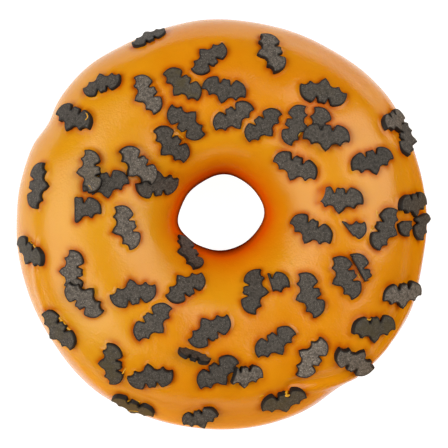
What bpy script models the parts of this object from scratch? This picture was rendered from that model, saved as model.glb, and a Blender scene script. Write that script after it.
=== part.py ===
"""A frosted ring doughnut strewn with bat sprinkles: a fried dough ring, and icing with the sprinkles in it.

Lengths are in millimetres and angles in degrees until a shape is finished, when MM turns them into metres.
The doughnut lies flat with its iced side up. The origin is under its middle, on the surface that it rests on.
"""

import math
from collections import namedtuple

import bmesh
import bpy
from mathutils import Matrix, Vector

MM = 0.001

# The finished doughnut, measured over its icing
OUTER_RADIUS = 44.95
HOLE_RADIUS = 8.5
HOLE_CENTRE = Vector((0.0, 2.65, 0.0))
WAIST_HEIGHT = 13.8
CROWN_RISE = 15.6
BASE_DROP = 14.5
CROWN_SQUARENESS = 2.2
BASE_SQUARENESS = 2.5

# How the hand-cut ring strays from round: bearing, rise and width of each bulge or flat
OUTLINE_BULGES = (
    (40, 1.2, 15),
    (129, 0.45, 8),
    (150, -0.8, 5),
    (205, 0.15, 12),
    (232, 0.95, 13),
    (306, -1.05, 9),
    (334, 0.5, 10),
)
HOLE_BULGES = (
    (358, 0.95, 24),
    (56, -0.25, 20),
    (122, -0.65, 30),
    (198, 1.3, 21),
    (228, 0.35, 14),
    (290, -0.28, 26),
)
CROWN_BULGES = (
    (20, 0.4, 40),
    (120, -0.5, 35),
    (215, 0.5, 45),
    (300, -0.6, 30),
)
SHOULDER_FOLDS = (
    (316, 1.7, 12),
    (20, 0.35, 12),
)

# The icing coat
ICING_GAP = 0.3
ICING_THICKNESS = 1.3
ICING_LIFT = ICING_GAP + ICING_THICKNESS
ICING_EDGE_LIFT = 0.65
OUTER_EDGE_TURN = -17.0
OUTER_EDGE_WAVES = ((3, 3.0, 40), (5, 2.5, 10), (11, 2.0, 75))
INNER_EDGE_TURN = 191.0
INNER_EDGE_WAVES = ((2, 3.0, 80), (5, 2.0, 20))
CRUST_WINDOW = (246, 4.0, 38)

# How finely the round shapes are divided
RING_STEPS = 64
DOUGH_STEPS = 24
ICING_STEPS = 15
LINING_STEPS = 13

# One sprinkle, flat, its head towards +Y
BAT_HEAD = (0.0, 2.3)
BAT_NECK = (1.05, 1.35)
BAT_SHOULDER = (2.15, 2.75)
BAT_TIP = (5.1, -0.75)
BAT_POINT = (2.9, -1.8)
TAIL_REACH = 3.0
BAT_TAIL = (0.0, -TAIL_REACH)
WING_BOW = 0.85
OUTER_SCALLOP_BOW = -0.4
BAT_THICKNESS = 1.3
BAT_SINK = 0.55
BAT_DRAPE = 0.5
CORRECTIONS = 12
MERIDIAN_CURVE = 1 / 17.0
STEEPEST_REACH = 0.985
EYE_DISTANCE = 750.0

# A blank ring has a round section, whose angle stands for the turn and whose radius stands for the lift
BLANK_RADIUS = 10.0
BLANK_TUBE = 4.0
BLANK_PER_LIFT = 0.1
WELD_DISTANCE = 1e-5

DOUGH_COLOUR = (0.55, 0.27, 0.08, 1.0)
DOUGH_ROUGHNESS = 0.6
ICING_COLOUR = (0.80, 0.27, 0.01, 1.0)
ICING_ROUGHNESS = 0.25

Bat = namedtuple(
    "Bat",
    "x y heading lift roll pitch wings cut slant tail size",
    defaults=(0, 0, 0, "both", 0.7, 0.35, TAIL_REACH, 1),
)

# Where each sprinkle fell: its middle, seen from above, and the bearing of its head.
# Lift raises one that lies on another, roll raises its right wing, and pitch raises its head.
# A broken one keeps the wing that is named, or its top, up to a slanting break that lies cut past its middle,
# and of its tail, or of a top's right wing, no more than tail.
OUTER_BATS = (
    Bat(-15.9, 40.9, -50, 0.3, 0, -7, size=0.78),
    Bat(-26.2, 30.85, -79, size=0.88),
    Bat(-32.5, 23.2, 64),
    Bat(-40.0, 8.5, 176),
    Bat(-42.05, -6.2, 75, size=0.95),
    Bat(-35.55, -23.1, 49, 0.4, 0, -14),
    Bat(-24.2, -30.6, -5, size=0.97),
    Bat(-19.3, -39.7, 71, 0.2, size=0.97),
    Bat(-4.5, -42.1, 127, 0.8, 0, -22, size=0.83),
    Bat(13.6, -38.65, 104, 0.2),
    Bat(29.4, -29.85, -128, size=1.03),
    Bat(33.45, -22.85, 89, size=1.03),
    Bat(39.4, -15.3, 88, 0.5, 12),
    Bat(43.5, 1.4, 172, 0.4, 0, -14, wings="left", size=0.95),
    Bat(41.95, 4.35, 97, 0.35, size=0.9),
    Bat(40.35, 18.5, 140, 0.6, 0, -22, size=0.84),
    Bat(37.7, 22.4, 120, 0.5, size=0.85),
)
MIDDLE_BATS = (
    Bat(-16.5, 28.5, 28, size=0.92),
    Bat(-25.4, 8.75, 100),
    Bat(-28.85, 11.5, 6, 1.0, 6, size=0.93),
    Bat(-31.45, 3.4, 85, wings="right", slant=-0.1),
    Bat(-32.8, -10.4, -3, size=0.94),
    Bat(-29.85, -16.15, -130, 0.7, 5, size=0.97),
    Bat(-19.4, -15.0, -77),
    Bat(-14.9, -21.6, 135),
    Bat(-15.6, -33.25, -78),
    Bat(-6.1, -28.95, -110, 1.3, 0, 65, size=0.72),
    Bat(-0.7, -32.7, 126),
    Bat(4.7, -33.1, 88, 1.0, -20, wings="right", cut=2.9, size=0.86),
    Bat(11.9, -26.1, 122, size=0.96),
    Bat(19.5, -29.1, -30, size=0.98),
    Bat(30.25, -11.3, 18, wings="top", cut=-0.4, slant=0.2, tail=1.5),
    Bat(27.05, -11.7, 25, 0.3, size=0.98),
    Bat(40.4, 2.0, 181, 0.2, wings="left", cut=-1.3, slant=0.0, size=0.9),
    Bat(35.9, -1.0, 153, 0.4, size=0.96),
    Bat(27.55, -1.7, -67, wings="left", cut=-0.58, slant=0.28, size=0.87),
    Bat(33.1, 13.75, 107, size=0.97),
    Bat(21.5, 20.7, 5, wings="left"),
    Bat(23.0, 19.05, 86, 0.9, 0, -5),
    Bat(22.3, 29.05, -99, size=1.03),
    Bat(10.7, 37.65, 10),
    Bat(-2.85, 36.55, -44, size=0.91),
)
INNER_BATS = (
    Bat(-8.7, 30.55, 52, size=0.94),
    Bat(0.6, 29.45, 78, size=0.95),
    Bat(2.7, 23.5, 120, size=0.94),
    Bat(9.3, 21.6, 131, size=0.93),
    Bat(16.4, 21.8, 160, size=0.9),
    Bat(-7.6, 22.6, -132, size=0.96),
    Bat(-11.15, 17.4, 43, size=0.97),
    Bat(-14.1, 8.9, -90),
    Bat(-18.6, 12.8, 45, 0.9, 0, -4),
    Bat(-21.25, -0.7, 20, size=0.98),
    Bat(-8.0, -13.6, -53, size=0.97),
    Bat(-7.45, -6.3, -3, size=0.95),
    Bat(-2.7, -23.1, -57),
    Bat(7.4, -14.75, 176),
    Bat(9.95, -13.35, 90, wings="right", cut=-0.9, slant=-0.3),
    Bat(19.2, -15.5, 19),
    Bat(19.65, -1.4, 65),
    Bat(26.15, 5.35, 87, 0.15, 10, -4),
    Bat(16.25, 12.5, 70),
)


def bulge(bearing, centre, width):
    """A smooth hump of height 1 at a bearing round the ring."""
    away = (bearing - centre + 180) % 360 - 180
    return math.exp(-((away / width) ** 2))


def bulged(mean, bulges, bearing):
    return mean + sum(rise * bulge(bearing, centre, width) for centre, rise, width in bulges)


def waved(mean, waves, bearing):
    return mean + sum(size * math.sin(math.radians(count * bearing + phase)) for count, size, phase in waves)


def towards(bearing):
    return Vector((math.cos(math.radians(bearing)), math.sin(math.radians(bearing)), 0.0))


def ring_ends(bearing):
    """The waist of the dough at a bearing: a point on the hole's wall and one on the outside."""
    ray = towards(bearing)
    inner = HOLE_CENTRE + ray * (bulged(HOLE_RADIUS, HOLE_BULGES, bearing) + ICING_LIFT)
    outer = ray * (bulged(OUTER_RADIUS, OUTLINE_BULGES, bearing) - ICING_LIFT)
    return inner, outer


def squareness(bearing, turn):
    if math.sin(math.radians(turn)) < 0:
        return BASE_SQUARENESS
    fold = sum(rise * bulge(bearing, centre, width) for centre, rise, width in SHOULDER_FOLDS)
    outward = max(0.0, math.cos(math.radians(turn)))
    return CROWN_SQUARENESS + fold * outward


def section_point(bearing, turn, lift):
    """A point on the ring's section at a bearing. Turn runs from 0 at the outer waist over the crown to 180."""
    inner, outer = ring_ends(bearing)
    across = (outer - inner) / 2
    half_width = across.length
    rise = bulged(CROWN_RISE, CROWN_BULGES, bearing) - ICING_LIFT
    half_height = rise if math.sin(math.radians(turn)) >= 0 else BASE_DROP
    power = 2 / squareness(bearing, turn)
    cosine = math.cos(math.radians(turn))
    sine = math.sin(math.radians(turn))
    along = math.copysign(abs(cosine) ** power, cosine)
    up = math.copysign(abs(sine) ** power, sine)
    slope = Vector(
        (
            math.copysign(abs(cosine) ** (2 - power), cosine) / half_width,
            math.copysign(abs(sine) ** (2 - power), sine) / half_height,
        )
    ).normalized()
    direction = across.normalized()
    point = (inner + outer) / 2 + across * along + direction * slope.x * lift
    point.z = WAIST_HEIGHT + half_height * up + slope.y * lift
    return point


def normal_at(bearing, turn):
    """The way out of the icing, square to a step round the ring and to a step over its crown."""
    round_step = section_point(bearing + 1, turn, ICING_LIFT) - section_point(bearing - 1, turn, ICING_LIFT)
    over_step = section_point(bearing, turn + 1, ICING_LIFT) - section_point(bearing, turn - 1, ICING_LIFT)
    return round_step.cross(over_step).normalized()


def as_seen(point):
    """Where an eye over the ring sees a point, on the level of the waist: what stands higher looks larger."""
    return point * (EYE_DISTANCE / (EYE_DISTANCE + WAIST_HEIGHT - point.z))


def crown_place(x, y):
    """The bearing and turn of the point on top of the icing that is seen at x, y from above."""
    aim = Vector((x, y, 0.0))
    base = aim.copy()
    share = 0.5
    turn = 90.0
    for _ in range(CORRECTIONS):
        ray = base - HOLE_CENTRE * (1 - share)
        bearing = math.degrees(math.atan2(ray.y, ray.x))
        inner, outer = ring_ends(bearing)
        hole = (inner - HOLE_CENTRE).length
        share = (ray.length - hole) / (outer.length - hole)
        along = max(-STEEPEST_REACH, min(STEEPEST_REACH, 2 * share - 1))
        share = (along + 1) / 2
        power = squareness(bearing, turn) / 2
        turn = math.degrees(math.acos(math.copysign(abs(along) ** power, along)))
        away = as_seen(section_point(bearing, turn, ICING_LIFT)) - section_point(bearing, turn, 0.0)
        base = aim - Vector((away.x, away.y, 0.0))
    return bearing, turn


def spun_ring(profile):
    """A closed ring spun from a closed profile of points (x, z), each of them kept as a row round the ring."""
    ring = bmesh.new()
    loop = [ring.verts.new((x, 0.0, z)) for x, z in profile]
    edges = [ring.edges.new((loop[i - 1], loop[i])) for i in range(len(loop))]
    bmesh.ops.spin(
        ring,
        geom=loop + edges,
        axis=(0, 0, 1),
        cent=(0, 0, 0),
        angle=math.tau,
        steps=RING_STEPS,
        use_merge=True,
        use_duplicate=False,
    )
    bmesh.ops.remove_doubles(ring, verts=ring.verts, dist=WELD_DISTANCE)
    bmesh.ops.recalc_face_normals(ring, faces=ring.faces)
    return ring


def finished(name, shape, colour, roughness):
    """Turns a bmesh in millimetres into a named object in metres with its own material."""
    bmesh.ops.scale(shape, vec=(MM, MM, MM), verts=shape.verts)
    bmesh.ops.recalc_face_normals(shape, faces=shape.faces)
    mesh = bpy.data.meshes.new(name)
    shape.to_mesh(mesh)
    shape.free()
    mesh.shade_smooth()
    material = bpy.data.materials.new(name)
    material.use_nodes = True
    shader = material.node_tree.nodes["Principled BSDF"]
    shader.inputs["Base Color"].default_value = colour
    shader.inputs["Roughness"].default_value = roughness
    mesh.materials.append(material)
    made = bpy.data.objects.new(name, mesh)
    bpy.context.scene.collection.objects.link(made)
    return made


def blank_profile_point(turn, lift):
    """The point of a blank ring's section that stands for a turn and a lift."""
    tube = BLANK_TUBE + lift * BLANK_PER_LIFT
    return BLANK_RADIUS + tube * math.cos(math.radians(turn)), tube * math.sin(math.radians(turn))


def read_blank(vertex):
    """The bearing, turn and lift that a point of a blank ring stands for."""
    bearing = math.degrees(math.atan2(vertex.co.y, vertex.co.x))
    x = math.hypot(vertex.co.x, vertex.co.y) - BLANK_RADIUS
    turn = math.degrees(math.atan2(vertex.co.z, x))
    lift = (math.hypot(x, vertex.co.z) - BLANK_TUBE) / BLANK_PER_LIFT
    return bearing, turn, lift


def make_dough():
    """The fried ring: a blank pressed into the doughnut's section, and flat where it rests."""
    ring = spun_ring([blank_profile_point(360 * i / DOUGH_STEPS, 0.0) for i in range(DOUGH_STEPS)])
    for vertex in ring.verts:
        bearing, turn, _ = read_blank(vertex)
        vertex.co = section_point(bearing, turn, 0.0)
        vertex.co.z = max(0.0, vertex.co.z)
    return finished("dough", ring, DOUGH_COLOUR, DOUGH_ROUGHNESS)


def icing_edges(bearing):
    """The turns at which the icing ends on the outside and in the hole."""
    outer = waved(OUTER_EDGE_TURN, OUTER_EDGE_WAVES, bearing)
    centre, rise, width = CRUST_WINDOW
    inner = waved(INNER_EDGE_TURN, INNER_EDGE_WAVES, bearing) - rise * bulge(bearing, centre, width)
    return outer, inner


def icing_profile():
    """The coat's section: over the top from edge to edge, and back along its lining on the dough."""
    top = [(i / ICING_STEPS, ICING_LIFT) for i in range(1, ICING_STEPS)]
    lining = [(1 - i / LINING_STEPS, ICING_GAP) for i in range(LINING_STEPS + 1)]
    edge = ICING_EDGE_LIFT + ICING_GAP
    return [(0.0, edge)] + top + [(1.0, edge)] + lining


def make_icing():
    """The coat: a blank whose half circle is stretched between the icing's two uneven edges."""
    ring = spun_ring([blank_profile_point(180 * share, lift) for share, lift in icing_profile()])
    for vertex in ring.verts:
        bearing, half_turn, lift = read_blank(vertex)
        outer, inner = icing_edges(bearing)
        vertex.co = section_point(bearing, outer + (inner - outer) * half_turn / 180, lift)
    return finished("icing", ring, ICING_COLOUR, ICING_ROUGHNESS)


def bowed(start, end, bow, steps):
    """Points from start up to end along a shallow arc that bows to the left of the way by bow."""
    a, b = Vector(start), Vector(end)
    way = b - a
    side = Vector((-way.y, way.x)).normalized()
    found = []
    for i in range(steps):
        share = i / steps
        found.append(a + way * share + side * (bow * 4 * share * (1 - share)))
    return found


def bat_outline():
    """The sprinkle's outline, anticlockwise from the top of its head round its left wing and back."""
    corners = (
        (BAT_HEAD, BAT_NECK, 0.0, 1),
        (BAT_NECK, BAT_SHOULDER, 0.0, 1),
        (BAT_SHOULDER, BAT_TIP, WING_BOW, 2),
        (BAT_TIP, BAT_POINT, OUTER_SCALLOP_BOW, 2),
        (BAT_POINT, BAT_TAIL, 0.0, 1),
    )
    right = [point for start, end, bow, steps in corners for point in bowed(start, end, bow, steps)]
    left = [Vector((-point.x, point.y)) for point in right[1:]]
    return [right[0]] + left + [Vector(BAT_TAIL)] + right[:0:-1]


def break_plate(plate, way, reach):
    """Breaks off all that lies further than reach along a way, and closes the break."""
    cut = bmesh.ops.bisect_plane(
        plate,
        geom=plate.verts[:] + plate.edges[:] + plate.faces[:],
        plane_co=way * reach,
        plane_no=way,
        clear_outer=True,
    )
    rim = [item for item in cut["geom_cut"] if isinstance(item, bmesh.types.BMEdge)]
    bmesh.ops.holes_fill(plate, edges=rim, sides=0)


def break_bat(plate, bat):
    """Breaks one wing or the lower part off a plate, then its tail, or the right wing of a top."""
    broken_side = {"left": (1, bat.slant, 0), "right": (-1, bat.slant, 0), "top": (bat.slant, -1, 0)}
    break_plate(plate, Vector(broken_side[bat.wings]).normalized(), bat.cut)
    if bat.tail < TAIL_REACH:
        break_plate(plate, Vector((1, 0, 0) if bat.wings == "top" else (0, -1, 0)), bat.tail)


def make_bat(bat, name):
    """One sprinkle: its outline as a plate, broken if a part is missing, then bent and set in the icing."""
    plate = bmesh.new()
    face = plate.faces.new([plate.verts.new((p.x, p.y, 0.0)) for p in bat_outline()])
    grown = bmesh.ops.extrude_face_region(plate, geom=[face])
    raised = [v for v in grown["geom"] if isinstance(v, bmesh.types.BMVert)]
    bmesh.ops.translate(plate, verts=raised, vec=(0, 0, BAT_THICKNESS))
    if bat.wings != "both":
        break_bat(plate, bat)

    bearing, turn = crown_place(bat.x, bat.y)
    normal = normal_at(bearing, turn)
    place = section_point(bearing, turn, ICING_LIFT)
    head = towards(bat.heading)
    head.z = -normal.dot(head) / normal.z
    head.normalize()
    hoop = Vector((-math.sin(math.radians(bearing)), math.cos(math.radians(bearing)), 0.0))
    meridian = hoop.cross(normal)
    wing = head.cross(normal)
    out = Vector((place.x, place.y, 0.0))
    hoop_curve = normal.dot(out) / out.length_squared
    lean = Matrix.Rotation(math.radians(-bat.roll), 3, "Y") @ Matrix.Rotation(math.radians(bat.pitch), 3, "X")
    for vertex in plate.verts:
        local = lean @ (vertex.co * bat.size)
        flat = wing * local.x + head * local.y
        sag = MERIDIAN_CURVE * flat.dot(meridian) ** 2 + hoop_curve * flat.dot(hoop) ** 2
        vertex.co = place + flat + normal * (local.z + bat.lift - BAT_SINK - BAT_DRAPE * sag / 2)
    bmesh.ops.scale(plate, vec=(MM, MM, MM), verts=plate.verts)
    bmesh.ops.triangulate(plate, faces=plate.faces)
    bmesh.ops.recalc_face_normals(plate, faces=plate.faces)
    mesh = bpy.data.meshes.new(name)
    plate.to_mesh(mesh)
    plate.free()
    return bpy.data.objects.new(name, mesh)


def set_sprinkles(icing, bats):
    """Joins every sprinkle to the icing with one union, and removes the loose ones."""
    toppings = bpy.data.collections.new("sprinkles")
    bpy.context.scene.collection.children.link(toppings)
    for number, bat in enumerate(bats):
        toppings.objects.link(make_bat(bat, f"bat_{number:02d}"))
    union = icing.modifiers.new("sprinkles", "BOOLEAN")
    union.operation = "UNION"
    union.operand_type = "COLLECTION"
    union.collection = toppings
    union.solver = "MANIFOLD"
    graph = bpy.context.evaluated_depsgraph_get()
    joined = bpy.data.meshes.new_from_object(icing.evaluated_get(graph))
    icing.modifiers.remove(union)
    icing.data = joined
    for loose in list(toppings.objects):
        bpy.data.objects.remove(loose)
    bpy.data.collections.remove(toppings)


def main():
    for old in list(bpy.data.objects):
        bpy.data.objects.remove(old)
    make_dough()
    icing = make_icing()
    set_sprinkles(icing, OUTER_BATS + MIDDLE_BATS + INNER_BATS)


main()
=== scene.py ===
import math
import random
from collections import namedtuple
from functools import lru_cache

import bmesh
import bpy
from mathutils import Matrix, Vector, noise
from mathutils.bvhtree import BVHTree


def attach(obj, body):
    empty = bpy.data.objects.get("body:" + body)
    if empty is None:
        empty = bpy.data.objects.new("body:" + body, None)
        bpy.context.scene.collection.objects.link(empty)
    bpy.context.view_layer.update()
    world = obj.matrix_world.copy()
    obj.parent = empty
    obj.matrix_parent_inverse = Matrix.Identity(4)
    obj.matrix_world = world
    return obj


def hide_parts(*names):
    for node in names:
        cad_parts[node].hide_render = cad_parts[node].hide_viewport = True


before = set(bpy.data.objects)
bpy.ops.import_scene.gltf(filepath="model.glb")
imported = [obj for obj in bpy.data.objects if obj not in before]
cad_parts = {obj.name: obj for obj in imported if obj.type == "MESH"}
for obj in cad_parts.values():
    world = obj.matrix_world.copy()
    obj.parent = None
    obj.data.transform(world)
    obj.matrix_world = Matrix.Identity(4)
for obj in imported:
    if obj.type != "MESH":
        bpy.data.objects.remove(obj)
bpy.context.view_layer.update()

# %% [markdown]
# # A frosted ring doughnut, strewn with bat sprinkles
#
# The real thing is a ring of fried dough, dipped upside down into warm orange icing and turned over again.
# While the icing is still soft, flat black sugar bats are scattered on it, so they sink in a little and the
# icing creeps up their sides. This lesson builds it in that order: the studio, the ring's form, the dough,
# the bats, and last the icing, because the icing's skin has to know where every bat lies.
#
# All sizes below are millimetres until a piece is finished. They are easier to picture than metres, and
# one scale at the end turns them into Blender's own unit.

MM = 0.001

# %% [markdown]
# ## The camera
#
# The doughnut is looked at from straight above. A camera in Blender looks down its own -Z axis, so one that
# isn't turned at all looks straight down, with +Y at the top of the picture. It could stand close with a wide
# lens, but then the rim would lean away. Food on white is shot from further off with a long lens, so the
# camera stands 750 mm above the waist of the ring, and its lens is worked out from the width it must show.

# %% Camera
SENSOR_WIDTH = 36.0
CAMERA_DISTANCE = 750.0
WAIST_HEIGHT = 13.8
VIEW_WIDTH = 98.34
VIEW_CENTRE = (0.55, 0.11)

camera_data = bpy.data.cameras.new("camera")
camera_data.sensor_width = SENSOR_WIDTH
camera_data.lens = SENSOR_WIDTH * CAMERA_DISTANCE / VIEW_WIDTH
camera = bpy.data.objects.new("camera", camera_data)
camera.location = (VIEW_CENTRE[0] * MM, VIEW_CENTRE[1] * MM, (WAIST_HEIGHT + CAMERA_DISTANCE) * MM)
bpy.context.scene.collection.objects.link(camera)
bpy.context.scene.camera = camera
print(f"lens {camera_data.lens:.0f} mm")

# %% [markdown]
# ## A white studio
#
# The icing is glossy, so most of what makes it look wet is what it mirrors. Large soft boxes stand left and
# right and put a broad sheen on the shoulders of the ring. A real soft box is brightest in its middle, so
# each has a smaller box in front of it. A low strip lights the front shoulder. The steep rim mirrors the
# glowing white floor, which gives it its peach band, and two sheets of warm paper outside the picture keep
# that band from turning white in front and on the right. Between all these the ring mirrors the dim room,
# and there the orange stays deep. The Standard view transform shows colours as they are lit.

# %% Lights, room and floor
LightBox = namedtuple("LightBox", "name bearing height distance width depth power")
LAMP_COLOUR = (1.0, 0.97, 0.88)
LIGHT_BOXES = (
    LightBox("left_soft_box", 186, 48, 900, 1000, 1100, 4.9),
    LightBox("left_inner_box", 186, 46, 880, 640, 740, 2.2),
    LightBox("right_soft_box", 20, 53, 900, 780, 1020, 3.3),
    LightBox("right_inner_box", 20, 51, 880, 540, 740, 2.3),
    LightBox("front_strip", 270, 16, 800, 700, 200, 0.5),
)
ROOM_GREY = 0.05
Card = namedtuple("Card", "name x y width depth glow")
CARDS = (
    Card("front_card", 0.0, -151.0, 200.0, 200.0, 0.8),
    Card("right_card", 151.0, -3.0, 200.0, 94.0, 0.0),
)
CARD_COLOUR = (0.82, 0.47, 0.13, 1.0)
CARD_HEIGHT = 0.5
FLOOR_WIDTH = 3000.0
FLOOR_DROP = 0.1
FLOOR_GREY = (0.3, 0.3, 0.3, 1.0)
FLOOR_GLOW = 0.93
FLOOR_ROUGHNESS = 0.9
CARD_ROUGHNESS = 0.8


def towards(bearing):
    """The level direction at a bearing in degrees, counted from +X towards +Y."""
    return Vector((math.cos(math.radians(bearing)), math.sin(math.radians(bearing)), 0.0))


def hang_light(box):
    """Hangs a soft box at a bearing and a height in degrees, and turns it to face the doughnut."""
    lamp = bpy.data.lights.new(box.name, "AREA")
    lamp.shape = "RECTANGLE"
    lamp.size = box.width * MM
    lamp.size_y = box.depth * MM
    lamp.energy = box.power
    lamp.color = LAMP_COLOUR
    holder = bpy.data.objects.new(box.name, lamp)
    away = towards(box.bearing) * math.cos(math.radians(box.height))
    away.z = math.sin(math.radians(box.height))
    holder.location = away * box.distance * MM
    holder.rotation_euler = away.to_track_quat("Z", "Y").to_euler()
    bpy.context.scene.collection.objects.link(holder)


for light_box in LIGHT_BOXES:
    hang_light(light_box)

room = bpy.data.worlds.new("room")
room.use_nodes = True
room.node_tree.nodes["Background"].inputs["Color"].default_value = (ROOM_GREY, ROOM_GREY, ROOM_GREY, 1.0)
bpy.context.scene.world = room
bpy.context.scene.view_settings.view_transform = "Standard"

floor_shape = bmesh.new()
bmesh.ops.create_grid(floor_shape, x_segments=1, y_segments=1, size=FLOOR_WIDTH * MM / 2)
bmesh.ops.translate(floor_shape, verts=floor_shape.verts, vec=(0, 0, -FLOOR_DROP * MM))
floor_mesh = bpy.data.meshes.new("floor")
floor_shape.to_mesh(floor_mesh)
floor_shape.free()
floor_white = bpy.data.materials.new("floor_white")
floor_white.use_nodes = True
floor_shader = floor_white.node_tree.nodes["Principled BSDF"]
floor_shader.inputs["Base Color"].default_value = FLOOR_GREY
floor_shader.inputs["Roughness"].default_value = FLOOR_ROUGHNESS
floor_shader.inputs["Emission Color"].default_value = (1.0, 1.0, 1.0, 1.0)
floor_shader.inputs["Emission Strength"].default_value = FLOOR_GLOW
floor_mesh.materials.append(floor_white)
floor = bpy.data.objects.new("floor", floor_mesh)
bpy.context.scene.collection.objects.link(floor)


def card_paper(card):
    """Warm paper that gives off light in its own colour, a painted glow, where a card is given one."""
    paper = bpy.data.materials.new(card.name + "_paper")
    paper.use_nodes = True
    shader = paper.node_tree.nodes["Principled BSDF"]
    shader.inputs["Base Color"].default_value = CARD_COLOUR
    shader.inputs["Roughness"].default_value = CARD_ROUGHNESS
    # Painted glow: the card gives off light in its own warm colour.
    shader.inputs["Emission Color"].default_value = CARD_COLOUR
    shader.inputs["Emission Strength"].default_value = card.glow
    return paper


def lay_card(card):
    """Lays a warm card flat beside the doughnut, just outside the picture."""
    sheet = bmesh.new()
    bmesh.ops.create_grid(sheet, x_segments=1, y_segments=1, size=0.5 * MM)
    bmesh.ops.scale(sheet, vec=(card.width, card.depth, 1), verts=sheet.verts)
    bmesh.ops.translate(sheet, verts=sheet.verts, vec=(card.x * MM, card.y * MM, CARD_HEIGHT * MM))
    mesh = bpy.data.meshes.new(card.name)
    sheet.to_mesh(mesh)
    sheet.free()
    mesh.materials.append(card_paper(card))
    laid = bpy.data.objects.new(card.name, mesh)
    bpy.context.scene.collection.objects.link(laid)


for card in CARDS:
    lay_card(card)
print(len(LIGHT_BOXES), "soft boxes and", len(CARDS), "warm cards over a white floor")

# %% [markdown]
# ## The form of the ring
#
# A doughnut's section is a fat oval with a flat foot, and the ring is cut and turned by hand, so it isn't
# quite round. A sculpted mesh could show that, but numbers are easier to share between pieces. Here a point
# of the ring is named by its bearing round the hole and by its turn over the section: 0 at the outer waist,
# 90 on the crown, 180 at the hole's waist. A superellipse gives the section, because one number, its
# squareness, makes it rounder or boxier. Soft bell-shaped bulges bend the outline, the hole and the crown.

# %% Driving sizes of the ring
OUTER_RADIUS = 44.95
HOLE_RADIUS = 8.5
HOLE_CENTRE = Vector((0.0, 2.65, 0.0))
CROWN_RISE = 15.6
BASE_DROP = 14.5
CROWN_SQUARENESS = 2.2
BASE_SQUARENESS = 2.5
ICING_GAP = 0.3
ICING_THICKNESS = 1.3
ICING_LIFT = ICING_GAP + ICING_THICKNESS
OUTLINE_BULGES = (
    (40, 1.2, 15),
    (129, 0.45, 8),
    (150, -0.8, 5),
    (205, 0.15, 12),
    (232, 0.95, 13),
    (306, -1.05, 9),
    (334, 0.5, 10),
)
HOLE_BULGES = (
    (358, 0.95, 24),
    (56, -0.25, 20),
    (122, -0.65, 30),
    (198, 1.3, 21),
    (228, 0.35, 14),
    (290, -0.28, 26),
)
CROWN_BULGES = (
    (20, 0.4, 40),
    (120, -0.5, 35),
    (215, 0.5, 45),
    (300, -0.6, 30),
)
SHOULDER_FOLDS = (
    (316, 1.7, 12),
    (20, 0.35, 12),
)


# %% Points on the ring
def bulge(bearing, centre, width):
    """A smooth hump of height 1 at a bearing round the ring."""
    away = (bearing - centre + 180) % 360 - 180
    return math.exp(-((away / width) ** 2))


def bulged(mean, bulges, bearing):
    """A mean size with all of its bulges added, at a bearing."""
    return mean + sum(rise * bulge(bearing, centre, width) for centre, rise, width in bulges)


@lru_cache(maxsize=4096)
def ring_section(bearing):
    """The section's inner and outer end at the waist, its rise to the crown, and its fold."""
    ray = towards(bearing)
    inner = HOLE_CENTRE + ray * (bulged(HOLE_RADIUS, HOLE_BULGES, bearing) + ICING_LIFT)
    outer = ray * (bulged(OUTER_RADIUS, OUTLINE_BULGES, bearing) - ICING_LIFT)
    rise = bulged(CROWN_RISE, CROWN_BULGES, bearing) - ICING_LIFT
    fold = bulged(0.0, SHOULDER_FOLDS, bearing)
    return inner, outer, rise, fold


def squareness(bearing, turn):
    """How boxy the section is: the foot more than the crown, and a folded shoulder most."""
    if math.sin(math.radians(turn)) < 0:
        return BASE_SQUARENESS
    outward = max(0.0, math.cos(math.radians(turn)))
    return CROWN_SQUARENESS + ring_section(bearing)[3] * outward


def section_point(bearing, turn, lift):
    """A point of the section at a bearing and a turn, lifted off the bare dough by lift."""
    inner, outer, rise, _ = ring_section(round(bearing, 3))
    across = (outer - inner) / 2
    half_height = rise if math.sin(math.radians(turn)) >= 0 else BASE_DROP
    power = 2 / squareness(round(bearing, 3), turn)
    cosine = math.cos(math.radians(turn))
    sine = math.sin(math.radians(turn))
    along = math.copysign(abs(cosine) ** power, cosine)
    up = math.copysign(abs(sine) ** power, sine)
    slope = Vector(
        (
            math.copysign(abs(cosine) ** (2 - power), cosine) / across.length,
            math.copysign(abs(sine) ** (2 - power), sine) / half_height,
        )
    ).normalized()
    point = (inner + outer) / 2 + across * along + across.normalized() * slope.x * lift
    point.z = WAIST_HEIGHT + half_height * up + slope.y * lift
    return point


def normal_at(bearing, turn):
    """The way out of the icing, square to a step round the ring and to a step over its crown."""
    round_step = section_point(bearing + 1, turn, ICING_LIFT) - section_point(bearing - 1, turn, ICING_LIFT)
    over_step = section_point(bearing, turn + 1, ICING_LIFT) - section_point(bearing, turn - 1, ICING_LIFT)
    return round_step.cross(over_step).normalized()


crown = section_point(90, 90, ICING_LIFT)
print(f"crown at the back: {crown.z:.1f} mm high, {crown.y:.1f} mm out")

# %% [markdown]
# To lay a sprinkle at a place seen from above, the same form is asked the other way round: which bearing
# and turn lie under this x and y? There is no neat formula for that, so the function guesses, looks at where
# its guess lands, and corrects itself a few times.

# %% The point under a place
STEEPEST_REACH = 0.985
CORRECTIONS = 12


def as_seen(point):
    """Where the camera sees a point, on the level of the waist: what stands higher looks larger."""
    return point * (CAMERA_DISTANCE / (CAMERA_DISTANCE + WAIST_HEIGHT - point.z))


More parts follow.
